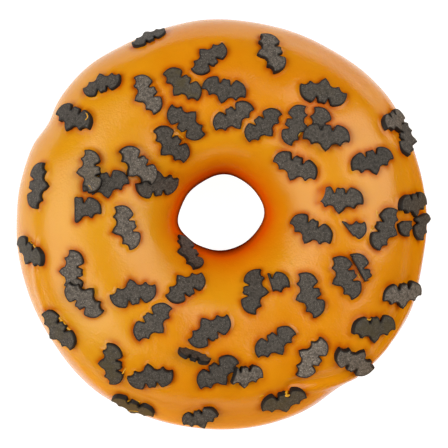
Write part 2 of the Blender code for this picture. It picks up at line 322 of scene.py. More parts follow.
def crown_place(x, y):
    """The bearing and turn of the point on top of the icing that is seen at x, y from above."""
    aim = Vector((x, y, 0.0))
    base = aim.copy()
    share = 0.5
    turn = 90.0
    for _ in range(CORRECTIONS):
        ray = base - HOLE_CENTRE * (1 - share)
        bearing = math.degrees(math.atan2(ray.y, ray.x))
        inner, outer, _, _ = ring_section(round(bearing, 3))
        hole = (inner - HOLE_CENTRE).length
        share = (ray.length - hole) / (outer.length - hole)
        along = max(-STEEPEST_REACH, min(STEEPEST_REACH, 2 * share - 1))
        share = (along + 1) / 2
        power = squareness(round(bearing, 3), turn) / 2
        turn = math.degrees(math.acos(math.copysign(abs(along) ** power, along)))
        away = as_seen(section_point(bearing, turn, ICING_LIFT)) - section_point(bearing, turn, 0.0)
        base = aim - Vector((away.x, away.y, 0.0))
    return bearing, turn


test_bearing, test_turn = crown_place(30.0, 20.0)
landed = as_seen(section_point(test_bearing, test_turn, ICING_LIFT))
print(f"asked for 30.0, 20.0 and landed on {landed.x:.2f}, {landed.y:.2f}")

# %% [markdown]
# ## Shared shader helpers
#
# Dough, icing and sugar are very different, but all three are mottled: their colour drifts between two
# tones, and their surface has a coarse and a fine unevenness. Instead of repeating those nodes, two node
# groups hold them. A group here hands out only colours and values. The Principled BSDF stays in each
# material, where its fixed numbers, such as the roughness, can be read at a glance.

# %% Node helpers
def per_mm(size):
    """A texture's scale for features of about this many millimetres, on Object coordinates in metres."""
    return 1 / (size * MM)


def new_group(name, inputs, outputs):
    """A shader node group with named sockets, and its two end nodes."""
    group = bpy.data.node_groups.new(name, "ShaderNodeTree")
    for label, kind in inputs:
        group.interface.new_socket(label, in_out="INPUT", socket_type=kind)
    for label, kind in outputs:
        group.interface.new_socket(label, in_out="OUTPUT", socket_type=kind)
    return group, group.nodes.new("NodeGroupInput"), group.nodes.new("NodeGroupOutput")


def place_group(tree, group, position, values):
    """Adds a group node, feeds it the position, and sets its other inputs."""
    node = tree.nodes.new("ShaderNodeGroup")
    node.node_tree = group
    tree.links.new(position, node.inputs["Position"])
    for label, value in values.items():
        node.inputs[label].default_value = value
    return node


def mixed(tree, factor, first, second):
    """A colour mix of two sockets or colours by a socket or a number."""
    node = tree.nodes.new("ShaderNodeMix")
    node.data_type = "RGBA"
    for socket, value in ((node.inputs[0], factor), (node.inputs[6], first), (node.inputs[7], second)):
        if isinstance(value, bpy.types.NodeSocket):
            tree.links.new(value, socket)
        else:
            socket.default_value = value
    return node.outputs[2]


def calculated(tree, operation, first, second):
    """A sum on two sockets or numbers, held between 0 and 1."""
    node = tree.nodes.new("ShaderNodeMath")
    node.operation = operation
    node.use_clamp = True
    for socket, value in zip(node.inputs, (first, second)):
        if isinstance(value, bpy.types.NodeSocket):
            tree.links.new(value, socket)
        else:
            socket.default_value = value
    return node.outputs[0]


# %% Mottle and relief groups
def make_mottle_group():
    """Two tones that drift into each other, and the mask that tells them apart."""
    group, given, result = new_group(
        "mottle",
        (
            ("Position", "NodeSocketVector"),
            ("Scale", "NodeSocketFloat"),
            ("Detail", "NodeSocketFloat"),
            ("Low", "NodeSocketFloat"),
            ("High", "NodeSocketFloat"),
            ("Tone A", "NodeSocketColor"),
            ("Tone B", "NodeSocketColor"),
        ),
        (("Colour", "NodeSocketColor"), ("Mask", "NodeSocketFloat")),
    )
    cloud = group.nodes.new("ShaderNodeTexNoise")
    spread = group.nodes.new("ShaderNodeMapRange")
    group.links.new(given.outputs["Position"], cloud.inputs["Vector"])
    group.links.new(given.outputs["Scale"], cloud.inputs["Scale"])
    group.links.new(given.outputs["Detail"], cloud.inputs["Detail"])
    group.links.new(cloud.outputs["Fac"], spread.inputs["Value"])
    group.links.new(given.outputs["Low"], spread.inputs["From Min"])
    group.links.new(given.outputs["High"], spread.inputs["From Max"])
    tone = mixed(group, spread.outputs["Result"], given.outputs["Tone A"], given.outputs["Tone B"])
    group.links.new(tone, result.inputs["Colour"])
    group.links.new(spread.outputs["Result"], result.inputs["Mask"])
    return group


def make_relief_group():
    """A height made of a coarse and a fine unevenness, for a Bump node."""
    group, given, result = new_group(
        "relief",
        (
            ("Position", "NodeSocketVector"),
            ("Coarse Scale", "NodeSocketFloat"),
            ("Fine Scale", "NodeSocketFloat"),
            ("Fine Share", "NodeSocketFloat"),
        ),
        (("Height", "NodeSocketFloat"),),
    )
    layers = []
    for label in ("Coarse Scale", "Fine Scale"):
        cloud = group.nodes.new("ShaderNodeTexNoise")
        cloud.inputs["Detail"].default_value = 2.0
        group.links.new(given.outputs["Position"], cloud.inputs["Vector"])
        group.links.new(given.outputs[label], cloud.inputs["Scale"])
        layers.append(cloud.outputs["Fac"])
    blend = group.nodes.new("ShaderNodeMix")
    group.links.new(given.outputs["Fine Share"], blend.inputs[0])
    group.links.new(layers[0], blend.inputs[2])
    group.links.new(layers[1], blend.inputs[3])
    group.links.new(blend.outputs[0], result.inputs["Height"])
    return group


mottle = make_mottle_group()
relief = make_relief_group()
print("node groups:", [group.name for group in bpy.data.node_groups])


# %% A new material, and a Bump node for it
def new_material(name):
    """A material with its Principled BSDF, its node tree and the Object coordinates."""
    material = bpy.data.materials.new(name)
    material.use_nodes = True
    tree = material.node_tree
    position = tree.nodes.new("ShaderNodeTexCoord").outputs["Object"]
    return material, tree, tree.nodes["Principled BSDF"], position


def add_bump(tree, shader, height, depth, strength):
    """Lets a height, up to a depth in millimetres, tilt the shader's normals."""
    bump = tree.nodes.new("ShaderNodeBump")
    bump.inputs["Distance"].default_value = depth * MM
    bump.inputs["Strength"].default_value = strength
    tree.links.new(height, bump.inputs["Height"])
    tree.links.new(bump.outputs["Normal"], shader.inputs["Normal"])


def attribute(tree, name):
    """The value that each vertex of the piece carries under a name."""
    node = tree.nodes.new("ShaderNodeAttribute")
    node.attribute_name = name
    return node.outputs["Fac"]


# %% [markdown]
# ## From a blank ring to a shaped one
#
# Dough and icing are both rings with a closed section, so both begin as a blank: a round profile spun once
# round the Z axis. On the blank, the angle round the tube stands for the turn and the tube's radius stands
# for the lift. Then each vertex is read back into bearing, turn and lift, and pressed into the doughnut's
# form. The other way, a torus primitive, would have even steps all round, but the icing needs a fine skin
# and only a coarse lining.

# %% Spinning and pressing a blank
BLANK_RADIUS = 10.0
BLANK_TUBE = 4.0
BLANK_PER_LIFT = 0.1
WELD_DISTANCE = 1e-5


def blank_point(turn, lift):
    """Where a turn and a lift lie on the blank's profile, as x and z."""
    tube = BLANK_TUBE + lift * BLANK_PER_LIFT
    return BLANK_RADIUS + tube * math.cos(math.radians(turn)), tube * math.sin(math.radians(turn))


def read_blank(vertex):
    """The bearing, turn and lift that a vertex of the blank stands for."""
    bearing = math.degrees(math.atan2(vertex.co.y, vertex.co.x))
    x = math.hypot(vertex.co.x, vertex.co.y) - BLANK_RADIUS
    turn = math.degrees(math.atan2(vertex.co.z, x))
    lift = (math.hypot(x, vertex.co.z) - BLANK_TUBE) / BLANK_PER_LIFT
    return bearing, turn, lift


def spun_blank(profile, steps):
    """A ring spun from a closed profile of turns and lifts, without a seam."""
    ring = bmesh.new()
    loop = []
    for turn, lift in profile:
        x, z = blank_point(turn, lift)
        loop.append(ring.verts.new((x, 0.0, z)))
    edges = [ring.edges.new((loop[i - 1], loop[i])) for i in range(len(loop))]
    bmesh.ops.spin(
        ring,
        geom=loop + edges,
        axis=(0, 0, 1),
        cent=(0, 0, 0),
        angle=math.tau,
        steps=steps,
        use_merge=True,
        use_duplicate=False,
    )
    bmesh.ops.remove_doubles(ring, verts=ring.verts, dist=WELD_DISTANCE)
    bmesh.ops.recalc_face_normals(ring, faces=ring.faces)
    return ring


def finish_piece(name, shape, material, crisp_from=180.0):
    """Turns a bmesh in millimetres into an object in metres, smooth but for edges sharper than an angle."""
    bmesh.ops.scale(shape, vec=(MM, MM, MM), verts=shape.verts)
    mesh = bpy.data.meshes.new(name)
    shape.to_mesh(mesh)
    shape.free()
    mesh.shade_smooth()
    mesh.set_sharp_from_angle(angle=math.radians(crisp_from))
    mesh.materials.append(material)
    piece = bpy.data.objects.new(name, mesh)
    bpy.context.scene.collection.objects.link(piece)
    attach(piece, "root")
    print(name, "has", len(mesh.polygons), "faces")
    return piece


# %% [markdown]
# ## The fried dough
#
# Dough fries floating, one side and then the other, so the parts that lay in the oil are golden brown and
# slightly wrinkled, and a pale band stays at the waist. Icing hides the top of it. What shows is the foot
# and the underside, and a little of the wall down in the hole. Real vertices make the wrinkles here, since
# the exported mesh has to hold them, and noise in the material only adds the finest grain.

# %% Dough material
CRUST_BROWN = (0.36, 0.135, 0.03, 1.0)
CRUST_GOLD = (0.62, 0.30, 0.085, 1.0)
CRUST_PALE = (0.80, 0.56, 0.26, 1.0)
CRUST_PATCH = 7.0
CRUST_GRAIN = 1.6
CRUST_FINE_GRAIN = 0.35
CRUST_GRAIN_DEPTH = 0.35


def make_crust():
    """Fried crust: gold that browns in patches, pale at the waist, with a dry grain."""
    material, tree, shader, position = new_material("fried_crust")
    tones = place_group(
        tree,
        mottle,
        position,
        {
            "Scale": per_mm(CRUST_PATCH),
            "Detail": 5.0,
            "Low": 0.35,
            "High": 0.68,
            "Tone A": CRUST_BROWN,
            "Tone B": CRUST_GOLD,
        },
    )
    colour = mixed(tree, attribute(tree, "pale"), tones.outputs["Colour"], CRUST_PALE)
    tree.links.new(colour, shader.inputs["Base Color"])
    height = place_group(
        tree,
        relief,
        position,
        {"Coarse Scale": per_mm(CRUST_GRAIN), "Fine Scale": per_mm(CRUST_FINE_GRAIN), "Fine Share": 0.35},
    )
    add_bump(tree, shader, height.outputs["Height"], CRUST_GRAIN_DEPTH, 0.8)
    shader.inputs["Roughness"].default_value = 0.55
    return material


fried_crust = make_crust()

# %% Dough ring
DOUGH_TURNS = 110
DOUGH_STEPS = 300
WRINKLE_DEPTH = 0.22
WRINKLE_SIZE = 5.0
WRINKLE_SOFTNESS = 0.8
WRINKLE_STEP = 2.1
WRINKLE_LAYERS = 4
PALE_TURN = -24.0
PALE_WIDTH = 15.0
INNER_PALE_TURN = 204.0
PALE_SHARE = 0.75
PALE_MOTTLE = 0.3


def press_dough(ring):
    """Presses the blank into the ring, wrinkles its crust and marks the pale band at its waist."""
    pale = ring.verts.layers.float.new("pale")
    for vertex in ring.verts:
        bearing, turn, _ = read_blank(vertex)
        point = section_point(bearing, turn, 0.0)
        wrinkle = noise.fractal(point / WRINKLE_SIZE, WRINKLE_SOFTNESS, WRINKLE_STEP, WRINKLE_LAYERS)
        outer_band = math.exp(-(((turn - PALE_TURN) / PALE_WIDTH) ** 2))
        inner_band = math.exp(-(((turn % 360 - INNER_PALE_TURN) / PALE_WIDTH) ** 2))
        vertex[pale] = max(outer_band, inner_band) * (PALE_SHARE + PALE_MOTTLE * wrinkle)
        shrunk = section_point(bearing, turn, -WRINKLE_DEPTH * (0.8 + 0.8 * wrinkle))
        shrunk.z = max(0.0, shrunk.z)
        vertex.co = shrunk


dough_shape = spun_blank([(360 * i / DOUGH_TURNS, 0.0) for i in range(DOUGH_TURNS)], DOUGH_STEPS)
press_dough(dough_shape)
dough_ring = finish_piece("dough_ring", dough_shape, fried_crust)
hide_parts("dough")

# %% [markdown]
# ## The bat sprinkles
#
# The bats are cut from a thin sheet of black sugar paste. Each is flat, about 10 mm from tip to tip and
# 1.3 mm thick, with soft corners, a faintly domed top and a painted shade along its cut edge. One outline
# serves them all: half a bat, from the middle of its head to its tail, mirrored. Straight runs between
# corners would look like tin, so each run is an arc with its own bow, positive where it swells and negative
# where it is scooped out.

# %% The outline of a bat
Run = namedtuple("Run", "start end bow steps")
BAT_RUNS = (
    Run((0.0, 2.5), (0.6, 2.64), 0.0, 1),
    Run((0.6, 2.64), (0.98, 2.1), 0.08, 2),
    Run((0.98, 2.1), (1.12, 1.48), 0.0, 1),
    Run((1.12, 1.48), (1.34, 1.44), 0.0, 1),
    Run((1.34, 1.44), (1.72, 2.3), 0.0, 1),
    Run((1.72, 2.3), (2.3, 2.82), 0.12, 2),
    Run((2.3, 2.82), (5.1, -0.45), 0.95, 7),
    Run((5.1, -0.45), (4.95, -0.75), 0.1, 1),
    Run((4.95, -0.75), (3.25, -1.7), -0.5, 4),
    Run((3.25, -1.7), (2.95, -1.72), 0.05, 1),
    Run((2.95, -1.72), (1.25, -1.6), -0.35, 3),
    Run((1.25, -1.6), (0.2, -3.0), 0.1, 2),
)
BAT_TAIL = (0.0, -3.08)


def arc_points(run):
    """Points from a run's start up to its end, along a shallow arc."""
    a, b = Vector(run.start), Vector(run.end)
    way = b - a
    side = Vector((-way.y, way.x)).normalized()
    shares = [i / run.steps for i in range(run.steps)]
    return [a + way * share + side * (run.bow * 4 * share * (1 - share)) for share in shares]


def bat_outline():
    """The corners of a whole bat, once round from the middle of its head."""
    right = [point for run in BAT_RUNS for point in arc_points(run)]
    left = [Vector((-point.x, point.y)) for point in right[1:]]
    return [right[0]] + left + [Vector(BAT_TAIL)] + right[:0:-1]


outline = bat_outline()
print("a bat's outline has", len(outline), "points and spans", round(2 * max(p.x for p in outline), 1), "mm")

# %% [markdown]
# ## Where the bats fell
#
# A scatter could be drawn at random, and then it would match no doughnut at all. Some sixty pieces are few
# enough to list one by one: the middle of each bat as seen from above, and the bearing that its head points
# to.
# Some broke on the way and show one wing, cut past the middle at a slant. Some lie on another bat and are
# lifted, tilted or pitched. A stain is icing that was wiped over the bat and dried to a dull brown green.

# %% Bat placements
# The last field is each bat's brightness: partly its own tone and partly a painted sheen on bats that lie in
# the light.
Bat = namedtuple(
    "Bat",
    "x y heading lift roll pitch wings cut slant tail size stain shade",
    defaults=(0, 0, 0, "both", 0.7, 0.35, 3, 1, 0, 0.15),
)
OUTER_BATS = (
    Bat(-15.9, 40.9, -50, 0.3, 0, -7, size=0.78),
    Bat(-26.2, 30.85, -79, size=0.88),
    Bat(-32.5, 23.2, 64),
    Bat(-40.0, 8.5, 176),
    Bat(-42.05, -6.2, 75, size=0.95, stain=0.3),
    Bat(-35.55, -23.1, 49, 0.4, 0, -14, stain=0.35),
    Bat(-24.2, -30.6, -5, size=0.97, stain=0.6),
    Bat(-19.3, -39.7, 71, 0.2, size=0.97, stain=0.8),
    Bat(-4.5, -42.1, 127, 0.8, 0, -22, size=0.83),
    Bat(13.6, -38.65, 104, 0.2, stain=0.5),
    Bat(29.4, -29.85, -128, size=1.03, shade=0.7),
    Bat(33.45, -22.85, 89, size=1.03, stain=0.6),
    Bat(39.4, -15.3, 88, 0.5, 12, shade=0.7),
    Bat(43.5, 1.4, 172, 0.4, 0, -14, wings="left", size=0.95),
    Bat(41.95, 4.35, 97, 0.35, size=0.9),
    Bat(40.35, 18.5, 140, 0.6, 0, -22, size=0.84),
    Bat(37.7, 22.4, 120, 0.5, size=0.85, shade=0.5),
)
MIDDLE_BATS = (
    Bat(-16.5, 28.5, 28, size=0.92, shade=0.6),
    Bat(-25.4, 8.75, 100),
    Bat(-28.85, 11.5, 6, 1.0, 6, size=0.93, stain=0.15, shade=0.6),
    Bat(-31.45, 3.4, 85, wings="right", slant=-0.1),
    Bat(-32.8, -10.4, -3, size=0.94, shade=0.55),
    Bat(-29.85, -16.15, -130, 0.7, 5, size=0.97, shade=0.55),
    Bat(-19.4, -15.0, -77),
    Bat(-14.9, -21.6, 135),
    Bat(-15.6, -33.25, -78),
    Bat(-6.1, -28.95, -110, 1.3, 0, 65, size=0.72),
    Bat(-0.7, -32.7, 126),
    Bat(4.7, -33.1, 88, 1.0, -20, wings="right", cut=2.9, size=0.86, shade=0.7),
    Bat(11.9, -26.1, 122, size=0.96),
    Bat(19.5, -29.1, -30, size=0.98, shade=1.0),
    Bat(30.25, -11.3, 18, wings="top", cut=-0.4, slant=0.2, tail=1.5),
    Bat(27.05, -11.7, 25, 0.3, size=0.98),
    Bat(40.4, 2.0, 181, 0.2, wings="left", cut=-1.3, slant=0.0, size=0.9),
    Bat(35.9, -1.0, 153, 0.4, size=0.96),
    Bat(27.55, -1.7, -67, wings="left", cut=-0.58, slant=0.28, size=0.87),
    Bat(33.1, 13.75, 107, size=0.97, shade=0.0),
    Bat(21.5, 20.7, 5, wings="left"),
    Bat(23.0, 19.05, 86, 0.9, 0, -5),
    Bat(22.3, 29.05, -99, size=1.03, stain=0.15),
    Bat(10.7, 37.65, 10, shade=0.6),
    Bat(-2.85, 36.55, -44, size=0.91),
)
INNER_BATS = (
    Bat(-8.7, 30.55, 52, size=0.94, stain=0.7),
    Bat(0.6, 29.45, 78, size=0.95),
    Bat(2.7, 23.5, 120, size=0.94),
    Bat(9.3, 21.6, 131, size=0.93),
    Bat(16.4, 21.8, 160, size=0.9),
    Bat(-7.6, 22.6, -132, size=0.96),
    Bat(-11.15, 17.4, 43, size=0.97),
    Bat(-14.1, 8.9, -90),
    Bat(-18.6, 12.8, 45, 0.9, 0, -4, shade=0.6),
    Bat(-21.25, -0.7, 20, size=0.98, shade=0.6),
    Bat(-8.0, -13.6, -53, size=0.97),
    Bat(-7.45, -6.3, -3, size=0.95),
    Bat(-2.7, -23.1, -57),
    Bat(7.4, -14.75, 176),
    Bat(9.95, -13.35, 90, wings="right", cut=-0.9, slant=-0.3),
    Bat(19.2, -15.5, 19),
    Bat(19.65, -1.4, 65),
    Bat(26.15, 5.35, 87, 0.15, 10, -4),
    Bat(16.25, 12.5, 70),
)
ALL_BATS = OUTER_BATS + MIDDLE_BATS + INNER_BATS
print(len(ALL_BATS), "bats")

# %% [markdown]
# ## From outline to sugar bat
#
# The outline is filled as one face and pushed up to a plate. A bevel softens its top rim, and an inset
# leaves a narrow border inside it: the border carries a painted shade along the edge as a vertex attribute,
# which fades to nothing across the inset. A flat face can't bend over the round icing, so a few bisecting
# planes first cut it into strips and patches. No vertex moves with them, and afterwards the plate can sag.

# %% One bat plate
BAT_THICKNESS = 1.3
BAT_SINK = 0.6
BAT_BEVEL = 0.14
BAT_BORDER = 0.28
BAT_WEAR = 0.055
FACE_WEAR = 0.2
WEAR_SIZE = 0.7
STRIPS_ALONG = (-4.2, -3.0, -1.8, -0.6, 0.6, 1.8, 3.0, 4.2)
STRIPS_ACROSS = (-2.2, -1.1, 0.0, 1.0, 2.0)
SAG_SHARE = 0.55
MERIDIAN_CURVE = 1 / 17.0
LEVEL = 0.99


def cut_plate(plate, place, normal, clear=False):
    """Cuts a plate along a plane, and clears what lies beyond it where asked."""
    return bmesh.ops.bisect_plane(
        plate,
        geom=plate.verts[:] + plate.edges[:] + plate.faces[:],
        plane_co=place,
        plane_no=normal,
        clear_outer=clear,
    )


def break_plate(plate, way, reach):
    """Breaks off all that lies further than reach along a way, and closes the break."""
    cut = cut_plate(plate, way * reach, way, clear=True)
    rim = [edge for edge in cut["geom_cut"] if isinstance(edge, bmesh.types.BMEdge)]
    bmesh.ops.holes_fill(plate, edges=rim, sides=0)


def break_bat(plate, wings, past_middle, slant, tail):
    """Breaks one wing or the lower part off a plate, then its tail, or the right wing of a top."""
    broken_side = {"left": (1, slant, 0), "right": (-1, slant, 0), "top": (slant, -1, 0)}
    break_plate(plate, Vector(broken_side[wings]).normalized(), past_middle)
    if tail < -BAT_TAIL[1]:
        break_plate(plate, Vector((1, 0, 0) if wings == "top" else (0, -1, 0)), tail)


def widest_level_face(plate):
    return max(plate.faces, key=lambda face: (face.normal.z > LEVEL) * face.calc_area())


@lru_cache
def bat_plate(wings, past_middle, slant, tail):
    """A flat bat in millimetres, its head towards +Y, its foot at z 0."""
    plate = bmesh.new()
    edge_shade_mark = plate.verts.layers.float.new("edge_shade")
    face = plate.faces.new([plate.verts.new((point.x, point.y, 0.0)) for point in outline])
    grown = bmesh.ops.extrude_face_region(plate, geom=[face])
    raised = [item for item in grown["geom"] if isinstance(item, bmesh.types.BMVert)]
    bmesh.ops.translate(plate, verts=raised, vec=(0, 0, BAT_THICKNESS))
    bmesh.ops.recalc_face_normals(plate, faces=plate.faces)
    if wings != "both":
        break_bat(plate, wings, past_middle, slant, tail)
    top = max(plate.faces, key=lambda item: item.calc_center_median().z)
    bmesh.ops.bevel(
        plate, geom=top.edges[:], offset=BAT_BEVEL, segments=2, profile=0.5, affect="EDGES", material=-1
    )
    # Painted shade: the sides and the rim of the plate are marked dark, and the inner top is cleared again
    # below.
    for vertex in plate.verts:
        vertex[edge_shade_mark] = 1.0
    top = widest_level_face(plate)
    bmesh.ops.inset_individual(plate, faces=[top], thickness=BAT_BORDER, use_even_offset=True)
    for vertex in widest_level_face(plate).verts:
        vertex[edge_shade_mark] = 0.0
    for x in STRIPS_ALONG:
        cut_plate(plate, (x, 0, 0), (1, 0, 0))
    for y in STRIPS_ACROSS:
        cut_plate(plate, (0, y, 0), (0, 1, 0))
    return plate


print("a whole bat has", len(bat_plate("both", 0, 0, -BAT_TAIL[1]).faces), "faces")

# %% [markdown]
# ## Laying the bats on the ring
#
# Each bat is a worn, slightly resized copy of its plate. Its own X runs along its wings and its own Y to its
# head, and both are turned into the plane that touches the icing there. Sugar paste is still a little soft
# when it lands, so the plate sags by about half of what the surface below it curves away. The wear comes
# from noise and from random draws. Both get a fixed seed, or every run would wear the bats differently.

# %% Laying one bat
SHADE_SPREAD = 0.06
WEAR_SPREAD = 50
DRAW_SEED = 31
draw = random.Random(DRAW_SEED)
noise.seed_set(DRAW_SEED)


def lay_bat(bat):
    """A mesh of one bat at its place on the ring, with its stain and its brightness, tone and painted sheen.
    """
    plate = bat_plate(bat.wings, bat.cut, bat.slant, bat.tail).copy()
    wear_seed = Vector([draw.uniform(0, WEAR_SPREAD) for _ in range(3)])
    shade = bat.shade + draw.uniform(-SHADE_SPREAD, SHADE_SPREAD)
    bearing, turn = crown_place(bat.x, bat.y)
    normal = normal_at(bearing, turn)
    place = section_point(bearing, turn, ICING_LIFT)
    head = towards(bat.heading)
    head.z = -normal.dot(head) / normal.z
    head.normalize()
    hoop = Vector((-math.sin(math.radians(bearing)), math.cos(math.radians(bearing)), 0.0))
    meridian = hoop.cross(normal)
    wing = head.cross(normal)
    out = Vector((place.x, place.y, 0.0))
    hoop_curve = normal.dot(out) / out.length_squared
    lean = Matrix.Rotation(math.radians(-bat.roll), 3, "Y") @ Matrix.Rotation(math.radians(bat.pitch), 3, "X")
    shade_mark = plate.verts.layers.float.new("shade")
    stain_mark = plate.verts.layers.float.new("stain")
    for vertex in plate.verts:
        vertex[shade_mark] = shade
        vertex[stain_mark] = bat.stain
        wear = noise.noise_vector(vertex.co / WEAR_SIZE + wear_seed) * BAT_WEAR
        local = lean @ (vertex.co * bat.size + Vector((wear.x, wear.y, wear.z * FACE_WEAR)))
        flat = wing * local.x + head * local.y
        sag = MERIDIAN_CURVE * flat.dot(meridian) ** 2 + hoop_curve * flat.dot(hoop) ** 2
        vertex.co = place + flat + normal * (local.z + bat.lift - BAT_SINK - SAG_SHARE * sag / 2)
    mesh = bpy.data.meshes.new("bat")
    plate.to_mesh(mesh)
    plate.free()
    return mesh


bats_shape = bmesh.new()
for bat in ALL_BATS:
    bat_mesh = lay_bat(bat)
    bats_shape.from_mesh(bat_mesh)
    bpy.data.meshes.remove(bat_mesh)
bmesh.ops.recalc_face_normals(bats_shape, faces=bats_shape.faces)
print("all bats together have", len(bats_shape.faces), "faces")

# %% [markdown]
# ## Black sugar
#
# Seen close, a bat is charcoal rather than black. Its face is full of sugar grains, and a share of them gets
# a lighter colour, a painted glint. Its cut edge and its sides get a painted shade. Stained bats carry a dull
# brown green film. Voronoi cells make the grains: each has one random tone, as real crystals do.

# %% Sugar material
SUGAR_DARK = (0.038, 0.031, 0.026, 1.0)
SUGAR_LIGHT = (0.094, 0.078, 0.066, 1.0)
SUGAR_EDGE_SHADE = (0.006, 0.004, 0.003, 1.0)
SUGAR_SPARK = (0.21, 0.185, 0.165, 1.0)
SUGAR_STAIN = (0.085, 0.062, 0.018, 1.0)
GRAIN_SIZE = 0.13
SPARK_SHARE = 0.12
SHADE_RANGE = (0.6, 2.4)


def make_sugar():
    """Charcoal sugar with painted glints, painted shade on its cut edge, each bat's stain, and its tone and
    painted sheen.
    """
    material, tree, shader, position = new_material("black_sugar")
    tones = place_group(
        tree,
        mottle,
        position,
        {
            "Scale": per_mm(0.55),
            "Detail": 4.0,
            "Low": 0.36,
            "High": 0.64,
            "Tone A": SUGAR_DARK,
            "Tone B": SUGAR_LIGHT,
        },
    )
    grains = tree.nodes.new("ShaderNodeTexVoronoi")
    grains.inputs["Scale"].default_value = per_mm(GRAIN_SIZE)
    tree.links.new(position, grains.inputs["Vector"])
    tone = tree.nodes.new("ShaderNodeSeparateColor")
    tree.links.new(grains.outputs["Color"], tone.inputs["Color"])
    # Painted glints: a share of the grains gets a lighter colour.
    spark = calculated(tree, "GREATER_THAN", tone.outputs["Red"], 1 - SPARK_SHARE)
    spark = calculated(tree, "MULTIPLY", spark, tone.outputs["Green"])
    colour = mixed(tree, spark, tones.outputs["Colour"], SUGAR_SPARK)
    film = place_group(
        tree,
        mottle,
        position,
        {"Scale": per_mm(2.2), "Detail": 2.0, "Low": 0.3, "High": 0.6},
    )
    stained = calculated(tree, "MULTIPLY", film.outputs["Mask"], attribute(tree, "stain"))
    colour = mixed(tree, stained, colour, SUGAR_STAIN)
    # Each bat's brightness, partly its own tone and partly a painted sheen on bats that lie in the light.
    lifted = tree.nodes.new("ShaderNodeHueSaturation")
    brightness = tree.nodes.new("ShaderNodeMapRange")
    brightness.inputs["To Min"].default_value, brightness.inputs["To Max"].default_value = SHADE_RANGE
    tree.links.new(attribute(tree, "shade"), brightness.inputs["Value"])
    tree.links.new(brightness.outputs["Result"], lifted.inputs["Value"])
    tree.links.new(colour, lifted.inputs["Color"])
    # Painted shade along the cut edge and the sides.
    colour = mixed(tree, attribute(tree, "edge_shade"), lifted.outputs["Color"], SUGAR_EDGE_SHADE)
    tree.links.new(colour, shader.inputs["Base Color"])
    height = place_group(
        tree,
        relief,
        position,
        {"Coarse Scale": per_mm(0.9), "Fine Scale": per_mm(0.22), "Fine Share": 0.6},
    )
    add_bump(tree, shader, height.outputs["Height"], 0.17, 1.0)
    shader.inputs["Roughness"].default_value = 0.58
    shader.inputs["Specular IOR Level"].default_value = 0.4
    return material


black_sugar = make_sugar()
bat_sprinkles = finish_piece("bat_sprinkles", bats_shape, black_sugar, crisp_from=25.0)

# %% [markdown]
# ## The icing coat
#
# The coat is a shell: a fine skin over the top, a rounded lower edge on the outside and in the hole, and a
# lining that faces the dough. A Solidify modifier on a plain skin would give it one blunt wall. Instead it
# is spun as half a blank with the bead in its profile, and the ends of the blank are then stretched to where
# the icing ran to, lower in some places than in others. Low waves round the ring say how far.

# %% Where the icing ends
OUTER_EDGE_TURN = -17.0
OUTER_EDGE_WAVES = ((3, 3.0, 40), (5, 2.5, 10), (11, 2.0, 75))
INNER_EDGE_TURN = 191.0
INNER_EDGE_WAVES = ((2, 3.0, 80), (5, 2.0, 20))
CRUST_WINDOW = (246, 4.0, 38)
ICING_BEAD = 1.6
SKIN_TURNS = 118
EDGE_TURNS = 4
LINING_TURNS = 24
ICING_STEPS = 320


def waved(mean, waves, bearing):
    """A mean turn with waves round the ring: their count, their size and their start."""
    return mean + sum(size * math.sin(math.radians(count * bearing + phase)) for count, size, phase in waves)


def icing_edges(bearing):
    """The turns at which the icing ends on the outside and in the hole."""
    outer = waved(OUTER_EDGE_TURN, OUTER_EDGE_WAVES, bearing)
    centre, rise, width = CRUST_WINDOW
    inner = waved(INNER_EDGE_TURN, INNER_EDGE_WAVES, bearing) - rise * bulge(bearing, centre, width)
    return outer, inner


def edge_bead(share):
    """Lifts round the icing's edge: from the lining at share 0 to the skin at share 1."""
    return ICING_GAP + ICING_THICKNESS * math.sin(math.radians(90 * share)) ** 0.8


def icing_profile():
    """Half turns from 0 to 180 and lifts: the skin with its rounded edges, then the lining."""
    shares = [i / EDGE_TURNS for i in range(1, EDGE_TURNS)]
    rising = [(ICING_BEAD * (1 - math.cos(math.radians(90 * share))), edge_bead(share)) for share in shares]
    skin_span = 180 - 2 * ICING_BEAD
    skin = [(ICING_BEAD + skin_span * i / SKIN_TURNS, ICING_LIFT) for i in range(SKIN_TURNS + 1)]
    falling = [(180 - turn, lift) for turn, lift in reversed(rising)]
    lining = [(180 - 180 * i / LINING_TURNS, ICING_GAP) for i in range(LINING_TURNS + 1)]
    return rising + skin + falling + lining


icing_shape = spun_blank(icing_profile(), ICING_STEPS)
print("blank icing has", len(icing_shape.faces), "faces")

# %% [markdown]
# Creases are listed too: soft ridges where the icing slid and folded while it set. Each is a short
# chain of places seen from above, and a vertex is lifted by how near it is to the chain.

# %% Creases
Crease = namedtuple("Crease", "height width chain")
CREASES = (
    Crease(0.55, 0.85, ((15, -36.3), (20, -35.6), (25, -34.2), (29, -32.8))),
    Crease(-0.5, 0.9, ((15, -34.6), (20, -33.9), (25, -32.6), (28.5, -31.3))),
    Crease(-0.4, 0.9, ((33.8, -27.0), (36.2, -23.4), (38.4, -19.2), (39.6, -16.6))),
    Crease(0.5, 0.75, ((32.5, -29.6), (35.2, -26.8), (37.5, -23.6), (39.6, -19.5), (40.8, -17))),
    Crease(0.42, 0.75, ((34.8, 22.8), (36.2, 20), (38.5, 17), (40.4, 13.5), (41.4, 9))),
    Crease(0.32, 0.6, ((-40.2, -3), (-40.6, -8), (-40.0, -14), (-38.2, -19))),
    Crease(-0.3, 1.3, ((15, 40.5), (22, 37.4), (29, 32.4), (33.5, 27.5))),
)
CREASE_REACH = 3.0


def distance_to_chain(point, chain):
    """How far a place is from the nearest stretch of a chain."""
    nearest = math.inf
    for start, end in zip(chain, chain[1:]):
        a, b = Vector(start), Vector(end)
        share = max(0.0, min(1.0, (point - a).dot(b - a) / (b - a).length_squared))
        nearest = min(nearest, (point - a - (b - a) * share).length)
    return nearest


